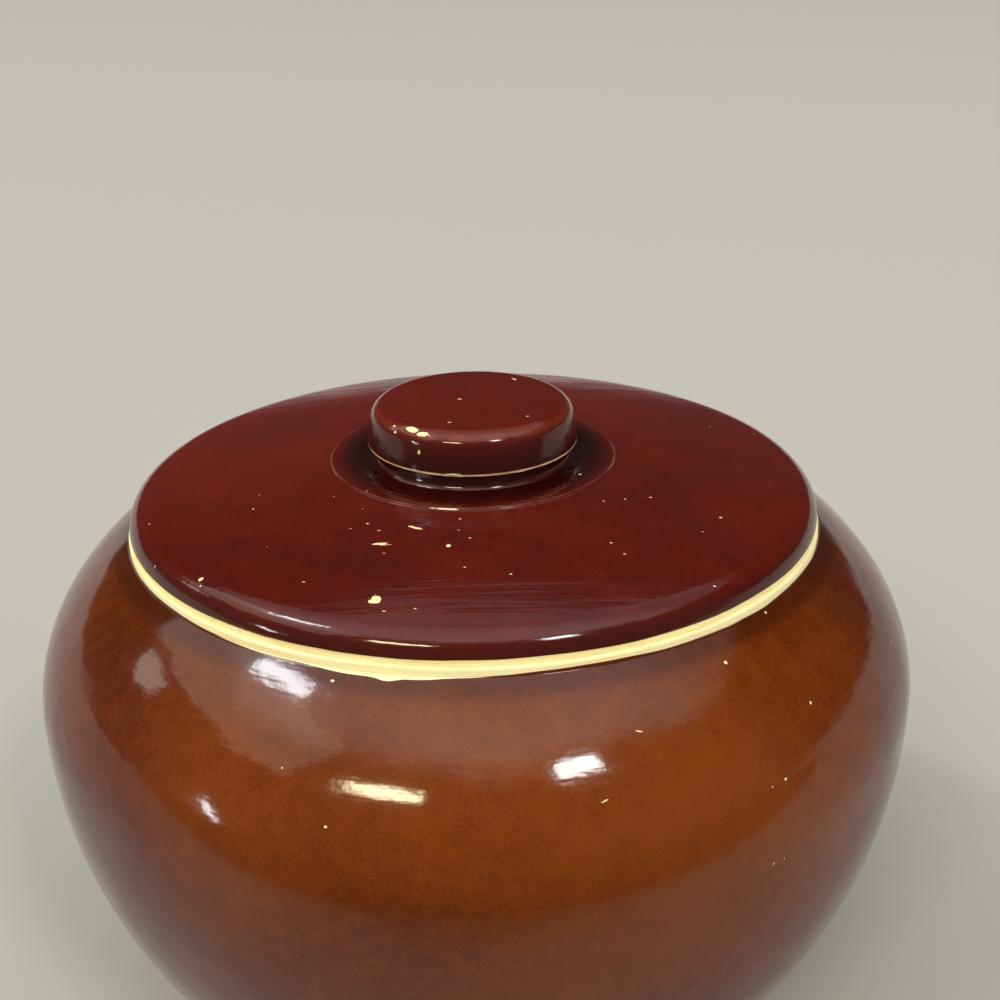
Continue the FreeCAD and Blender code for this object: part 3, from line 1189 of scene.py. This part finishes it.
    def chips(self) -> tuple[Chip, ...]:
        """Chips on the knob and the front of the dome, and pits on the rest of the lid."""
        base, wide = self.knob_base, self.knob_radius + self.knob_flare
        rows = (     # bearing, radius, height, length, width and lean
            (-128, 21.4, 151.8, 4.2, 1.8, 6), (-119.5, 21.9, 151.5, 3.3, 1.3, 4),
            (-141.3, 22.0, 151.4, 1.0, 0.8), (-138.5, 22.6, 150.5, 1.2, 0.7),
            (-158, 16.1, 152.5, 0.8, 0.7), (-142.9, 17.8, 152.5, 0.8, 0.7),
            (-120.3, 23.2, 147.5, 0.8, 1.2), (-100.5, wide, base + 0.3, 5.0, 1.0),
            (-102, wide - 1.3, base, 3.4, 1.6), (-65, wide, base + 0.2, 3.0, 0.5),
            (-173.8, 2.5, 152.7, 1.2, 1.2), (-108.5, 15.8, 152.5, 1.4, 0.9, 25),
            (-44.5, 16.9, 152.5, 1.1, 1.0), (54.1, 17.6, 152.5, 2.6, 0.9, -30),
            (-106.8, 67.5, 135.1, 3.0, 2.9), (-113.6, 48.1, 137.7, 4.0, 1.2, 24),
            (-111.6, 48.0, 137.7, 3.4, 0.6, 22), (-107.5, 40.0, 138.5, 4.0, 1.2, -12),
            (-96.6, 47.4, 137.7, 1.2, 1.5), (-94.6, 40.8, 138.4, 0.9, 0.6),
            (-110.8, 51.3, 137.3, 0.9, 0.6, 10), (-124.5, 45.8, 137.9, 0.9, 0.6),
            (-104.4, 71.0, 134.5, 1.1, 0.7), (-137.3, 31.0, 139.6, 0.9, 0.7),
            (-137.1, 74.8, 133.7, 1.3, 1.6, -20), (-136.1, 75.9, 133.0, 0.8, 0.7),
            (-120.9, 64.9, 135.5, 0.8, 0.7), (-161.4, 74.1, 134, 0.8, 0.8),
            (-160, 50.4, 137.4, 0.8, 0.8), (-153.3, 53.6, 137, 0.9, 0.8),
            (-94.8, 36.4, 138.7, 0.7, 0.9), (-91.4, 43.5, 138.1, 0.7, 0.8),
            (-122, 42.2, 138.3, 0.8, 0.9), (-116.8, 43.6, 138.1, 1.1, 0.8),
            (-129.4, 37.1, 138.7, 0.6, 0.8), (-32, 27.6, 139.6, 1.2, 1.1),
            (125.8, 52.3, 137.2, 0.9, 0.9), (-92.3, 55.2, 136.8, 0.8, 0.7),
            (-83.2, 58, 136.5, 0.7, 0.7), (-99.7, 69.2, 134.8, 0.7, 0.7),
            (-39.5, 61.4, 136, 0.7, 0.7), (-51.7, 75.2, 133.5, 0.8, 0.7),
            (-31.5, 61.3, 136, 1.1, 1.0), (17.3, 71.7, 134.4, 0.8, 1.0),
            (-44.9, 39, 138.6, 0.8, 0.8), (-31.2, 42.2, 138.3, 0.6, 0.7),
            (-33, 44.7, 138, 1.0, 0.9), (-58.8, 52.7, 137.1, 0.8, 0.8), (-59, 58, 136.5, 0.8, 0.8),
            (-144.2, 37.4, 138.7, 0.8, 0.6), (-135.6, 59.4, 136.3, 0.7, 0.6),
            (177.5, 53.6, 137, 0.7, 0.7), (-148.9, 77.3, 131.5, 0.9, 0.7))
        return tuple(Chip(*row) for row in rows)

    def build(self) -> None:
        """Models and dresses the clay, the glaze over it and the glaze in its hollow."""
        glaze = self.glaze().material()
        clay = turn_piece("lid_clay", self.section())
        finish_piece(clay, LID_CLAY.material(), Body.LID)
        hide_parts("lid")

        path = self.upper(0).points
        outer = turn_piece("lid_glaze_top", path)
        wander(outer, path, self.edge_line, self.edge_reach)
        soften(outer, self.swell_depth, self.swell_size)
        coat_wall(outer)
        chips = self.chips()
        for share in (chips[::2], chips[1::2]):     # chips that meet are cut one after the other
            knock_out(outer, path, share)
        finish_piece(outer, glaze, Body.LID)

        path = self.under(0).points
        inner = turn_piece("lid_glaze_under", path, facing_axis=True)
        wander(inner, path[::-1], self.under_line, self.under_reach)
        coat_wall(inner)
        finish_piece(inner, glaze, Body.LID)


# ---------------------------------------------------------------- the studio


@dataclass(frozen=True)
class Lamp:
    """A soft light, placed by where it stands in the sky above the pot."""

    name: str
    bearing: float          # degrees from straight behind the pot, clockwise from above
    elevation: float        # degrees
    distance: float         # metres
    width: float            # degrees that it spans, level
    height: float           # degrees that it spans, upright
    radiance: float         # a white card facing full light of 1 renders white
    colour: str = "#FFFFFF"
    turn: float = 0.0       # degrees that it is turned about the way it shines
    mirrored: bool = True   # False for a fill light, which leaves no highlight

    def hang(self, aim: Vector) -> None:
        """Hangs the lamp so that it faces the aim."""
        turn, tilt = math.radians(self.bearing), math.radians(self.elevation)
        towards = Vector((math.sin(turn) * math.cos(tilt), math.cos(turn) * math.cos(tilt),
                          math.sin(tilt)))
        place = aim + towards * self.distance
        facing = towards.to_track_quat("Z", "Y") @ Quaternion((0, 0, 1), math.radians(self.turn))
        bpy.ops.object.light_add(type="AREA", location=place, rotation=facing.to_euler())
        bpy.context.object.visible_glossy = self.mirrored
        light = bpy.context.object.data
        light.name = bpy.context.object.name = self.name
        light.shape = "RECTANGLE"
        light.size = 2 * self.distance * math.tan(math.radians(self.width) / 2)
        light.size_y = 2 * self.distance * math.tan(math.radians(self.height) / 2)
        light.energy = self.radiance * math.pi * light.size * light.size_y
        light.color = linear(self.colour)[:3]


@dataclass(frozen=True)
class Studio:
    """A plain floor and backdrop, a soft overcast ceiling, a few lamps, and the camera."""

    floor_colour: str = "#B8B5AF"   # as it is seen, also in the glaze
    front_painted_shade: str = "#5C5956"   # painted shade: as the glaze mirrors it on the camera's side of the pot
    front_edge: float = 0.155       # metres in front of the axis where it starts to darken
    front_fade: float = 0.08        # metres over which it darkens
    bounce_colour: str = "#8C8884"  # as it lights the pot from below
    backdrop_colour: str = "#C9C6BE"
    floor_radius: float = 6.0       # metres, well inside the lamps
    sky_full: float = 1.5           # radiance that 1 stands for in the skies below
    front_sky: tuple[tuple[float, float], ...] = (
        (0, 0.08), (40, 0.08), (53, 1.0), (90, 0.85))
    back_sky: tuple[tuple[float, float], ...] = (
        (0, 0.4), (1.5, 0.36), (4, 0.03), (42, 0.03), (45.5, 0.36), (56, 0.38), (66, 0.45),
        (90, 0.85))
    back_bearing: float = 20.0      # middle of the back sky, clockwise from straight behind
    blend: tuple[float, float] = (-0.15, 0.4)   # where the two skies meet, 1 being its middle
    cloud: float = 0.3              # how much the ceiling's light varies
    cloud_scale: float = 2.6
    cloud_span: tuple[float, float] = (0.3, 0.7)    # what the clouds' noise really fills
    drift: float = 0.03             # how far the clouds move the edge of a sky, 1 being 90 degrees
    aim_share: float = 0.75         # height that the lamps aim at, as a share of the pot's
    lamps: tuple[Lamp, ...] = (
        Lamp("window_left", -97, 54, 12.0, 14, 4.6, 25, "#F4F8FF", turn=22),
        Lamp("lamp_right", 151, 41, 12.0, 9, 7, 34),
        Lamp("tube_left", -155, 33, 12.0, 17, 4, 42, "#FFF3C4"),
        Lamp("side_left", -115, 1, 12.0, 3, 11, 25, turn=40),
        Lamp("card_left", -75, 25, 12.0, 9, 7, 3, "#FFF4E4"),
        Lamp("wall_left", -95, 44, 12.5, 56, 22, 1.35, "#FFF8E4"),
        Lamp("fill_left", -112, 5, 12.0, 60, 35, 1.5, mirrored=False),
        Lamp("fill_right", 118, 5, 12.0, 60, 35, 3.0, mirrored=False),
        Lamp("fill_back", 15, 2, 12.0, 50, 32, 1.3, mirrored=False),
    )
    lens: float = 54.0              # millimetres
    sensor: float = 36.0
    near: float = 0.01              # metres, the closest that the camera sees
    eye: Vector = Vector((0, -0.32007, 0.26475))    # metres
    pitch: float = 23.215           # degrees down
    yaw: float = 0.987              # degrees to the right
    roll: float = -1.338

    def build(self) -> None:
        """Lays the floor, hangs the lights and sets the camera."""
        scene = bpy.context.scene
        scene.view_settings.view_transform = "Standard"
        self._floor()
        self._world()
        self._lights()
        self._camera()

    def _floor(self) -> None:
        """Lays a plain pale floor.

        It is matt paint, without gloss or grain, and shows only the pot's shadow. The glaze
        mirrors it darker on the camera's side, a painted shade, as in a room that is lit from the
        other side.
        """
        deselect_all()
        bpy.ops.mesh.primitive_circle_add(vertices=128, radius=self.floor_radius,
                                          fill_type="NGON")
        floor = bpy.context.object
        floor.name = "floor"
        material, tree, output = new_material("painted_floor_matt")
        rays = add_node(tree, "LightPath").outputs
        seen = rays["Is Camera Ray"]
        for name in ("Is Glossy Ray", "Is Transmission Ray"):
            seen = add_node(tree, "Math", {0: seen, 1: rays[name]},
                            operation="MAXIMUM").outputs[0]
        place = add_node(tree, "TexCoord").outputs["Object"]
        axes = add_node(tree, "SeparateXYZ", {0: place})
        near = add_node(tree, "MapRange",
                        {"Value": axes.outputs[1], "From Min": -self.front_edge - self.front_fade,
                         "From Max": -self.front_edge}, interpolation_type="SMOOTHSTEP")
        pale = add_node(tree, "Math",
                        {0: near.outputs[0], 1: rays["Is Camera Ray"]}, operation="MAXIMUM")
        # painted shade in front of the pot, seen only in the glaze
        shown = add_node(tree, "Mix",
                         {0: pale.outputs[0], 6: linear(self.front_painted_shade),
                          7: linear(self.floor_colour)}, data_type="RGBA")
        colour = add_node(tree, "Mix",
                          {0: seen, 6: linear(self.bounce_colour), 7: shown.outputs[2]},
                          data_type="RGBA")
        shader = add_node(tree, "BsdfDiffuse", {"Color": colour.outputs[2]})
        tree.links.new(shader.outputs[0], output.inputs["Surface"])
        floor.data.materials.append(material)
        floor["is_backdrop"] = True

    def _sky(self, tree: bpy.types.NodeTree, elevation: bpy.types.NodeSocket,
             steps: tuple[tuple[float, float], ...]) -> bpy.types.NodeSocket:
        """Grades one half of the sky.

        Args:
            tree: the world's nodes.
            elevation: 0 at the horizon and 1 overhead.
            steps: pairs of an elevation in degrees and a share of the full radiance.

        Returns:
            The share of the full radiance.
        """
        ramp = add_node(tree, "ValToRGB", {0: elevation})
        ramp.color_ramp.interpolation = "EASE"
        stops = ramp.color_ramp.elements
        while len(stops) < len(steps):
            stops.new(1.0)
        for stop, (degrees, share) in zip(stops, steps):
            stop.position = degrees / 90
            stop.color = (share, share, share, 1)
        return ramp.outputs[0]

    def _world(self) -> None:
        """Makes a dim room under a bright and cloudy ceiling.

        The glaze mirrors that room, whose horizon behind the pot is as pale as the floor. Seen
        past the pot there is only a plain pale backdrop.
        """
        world = bpy.data.worlds.new("room")
        bpy.context.scene.world = world
        world.use_nodes = True
        tree = world.node_tree
        tree.nodes.clear()
        way = add_node(tree, "TexCoord").outputs["Generated"]
        axes = add_node(tree, "SeparateXYZ", {0: way})
        cloud = add_node(tree, "TexNoise", {"Vector": way, "Scale": self.cloud_scale, "Detail": 3})
        thin, thick = self.cloud_span
        drift, level = (
            add_node(tree, "MapRange", {"Value": cloud.outputs[0], "From Min": thin,
                                        "From Max": thick, "To Min": least, "To Max": most})
            for least, most in ((-self.drift, self.drift),
                                (self.sky_full * (1 - self.cloud / 2),
                                 self.sky_full * (1 + self.cloud / 2))))
        angle = add_node(tree, "Math", {0: axes.outputs[2]}, operation="ARCSINE")
        share = add_node(tree, "Math", {0: angle.outputs[0], 1: 2 / math.pi},
                         operation="MULTIPLY")
        elevation = add_node(tree, "Math", {0: share.outputs[0], 1: drift.outputs[0]},
                             operation="ADD")
        turn = math.radians(self.back_bearing)
        along = add_node(tree, "VectorMath",
                         {0: way, 1: (math.sin(turn), math.cos(turn), 0)},
                         operation="DOT_PRODUCT")
        behind = add_node(tree, "MapRange",
                          {"Value": along.outputs["Value"], "From Min": self.blend[0],
                           "From Max": self.blend[1]},
                          interpolation_type="SMOOTHSTEP")
        sky = add_node(tree, "Mix",
                       {0: behind.outputs[0],
                        6: self._sky(tree, elevation.outputs[0], self.front_sky),
                        7: self._sky(tree, elevation.outputs[0], self.back_sky)},
                       data_type="RGBA")
        light = add_node(tree, "Background",
                         {"Color": sky.outputs[2], "Strength": level.outputs[0]})
        backdrop = add_node(tree, "Background",
                            {"Color": linear(self.backdrop_colour), "Strength": 1.0})
        rays = add_node(tree, "LightPath").outputs
        seen = add_node(tree, "Math",
                        {0: rays["Is Camera Ray"], 1: rays["Is Transmission Ray"]},
                        operation="MAXIMUM")
        sight = add_node(tree, "MixShader",
                         {0: seen.outputs[0], 1: light.outputs[0], 2: backdrop.outputs[0]})
        output = add_node(tree, "OutputWorld")
        tree.links.new(sight.outputs[0], output.inputs["Surface"])

    def _lights(self) -> None:
        """Hangs the lamps."""
        low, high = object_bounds()
        aim = Vector((0, 0, low.z + self.aim_share * (high.z - low.z)))
        deselect_all()
        for lamp in self.lamps:
            lamp.hang(aim)

    def _camera(self) -> None:
        """Sets the camera a hand's breadth above the lid, looking down at the front."""
        bpy.ops.object.camera_add()
        camera = bpy.context.object
        camera.name = "camera"
        camera.data.sensor_width = self.sensor
        camera.data.lens = self.lens
        camera.data.clip_start = self.near
        camera.data.clip_end = 2 * self.floor_radius
        camera.matrix_world = (Matrix.Translation(self.eye)
                               @ Matrix.Rotation(math.radians(90 - self.pitch), 4, "X")
                               @ Matrix.Rotation(math.radians(-self.yaw), 4, "Y")
                               @ Matrix.Rotation(math.radians(self.roll), 4, "Z"))
        bpy.context.scene.camera = camera


def main() -> None:
    """Builds the pot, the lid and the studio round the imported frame."""
    logging.basicConfig(level=logging.INFO, format="%(name)s: %(message)s")
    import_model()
    Pot().build()
    Lid().build()
    Studio().build()


if __name__ == "__main__":
    main()
